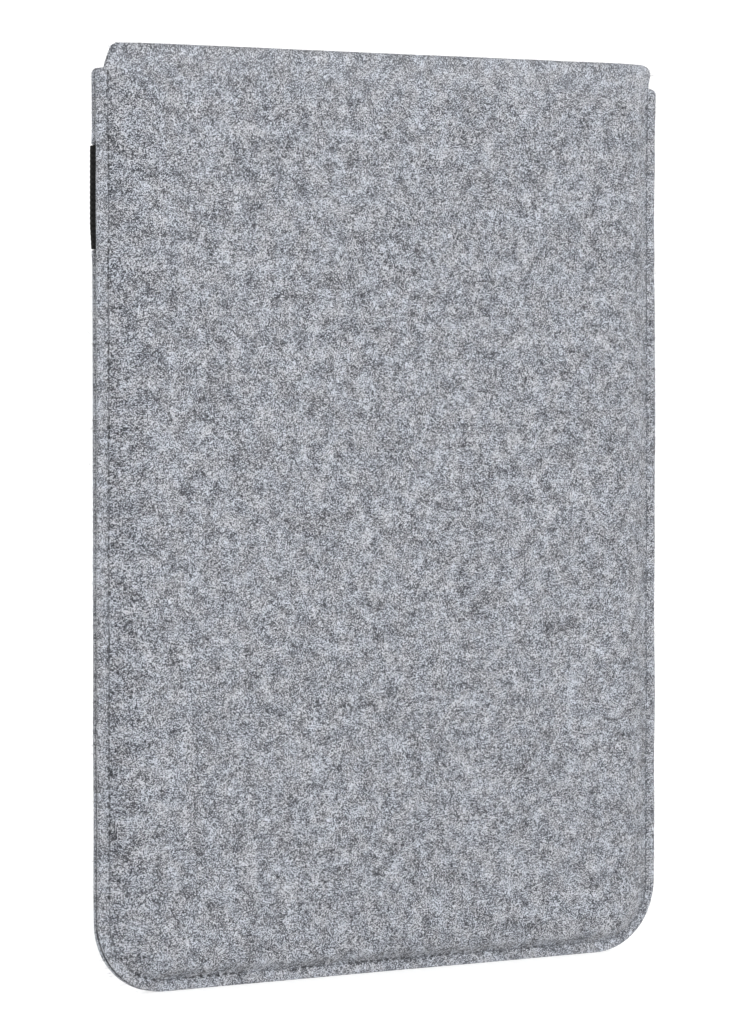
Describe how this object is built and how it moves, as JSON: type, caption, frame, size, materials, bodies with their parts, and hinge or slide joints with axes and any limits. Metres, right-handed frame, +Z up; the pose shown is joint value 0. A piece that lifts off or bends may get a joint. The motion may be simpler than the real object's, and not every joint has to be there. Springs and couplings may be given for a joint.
{
  "type": "laptop sleeve",
  "caption": "Slim felt laptop sleeve: an open-topped pocket with stitched edges, closed by a fold-over flap tucked under a wide elastic strap.",
  "frame": {"origin": "middle of the bottom edge, centred in width and in overall thickness", "axes": "+Z up from the bottom edge to the folded flap, +X across the width, +Y out of the front, where the strap and the flap's loose end are"},
  "size_m": [0.2534, 0.0216, 0.35],
  "materials": {
    "felt": "matte marled wool felt",
    "thread": "matte sewing thread, grey as the felt",
    "elastic": "matte black woven elastic, ribbed"
  },
  "bodies": {
    "sleeve": {"back_panel": "felt", "front_panel": "felt", "back_seam_thread": "thread", "front_seam_thread": "thread", "elastic_strap": "elastic"},
    "ridge": {"flap_ridge": "felt"},
    "flap": {"flap_panel": "felt"}
  },
  "joints": [
    {"name": "ridge_bend", "type": "hinge", "parent": "sleeve", "child": "ridge", "pos_m": [0, -0.00955, 0.34875], "axis": [1, 0, 0], "range_deg": [0, 90]},
    {"name": "flap_bend", "type": "hinge", "parent": "ridge", "child": "flap", "pos_m": [0, 0.00805, 0.34875], "axis": [1, 0, 0], "range_deg": [0, 90], "deforming": ["elastic_strap"]}
  ],
  "couplings": [
    {"joint": "ridge_bend", "follows": "flap_bend", "ratio": 1}
  ]
}
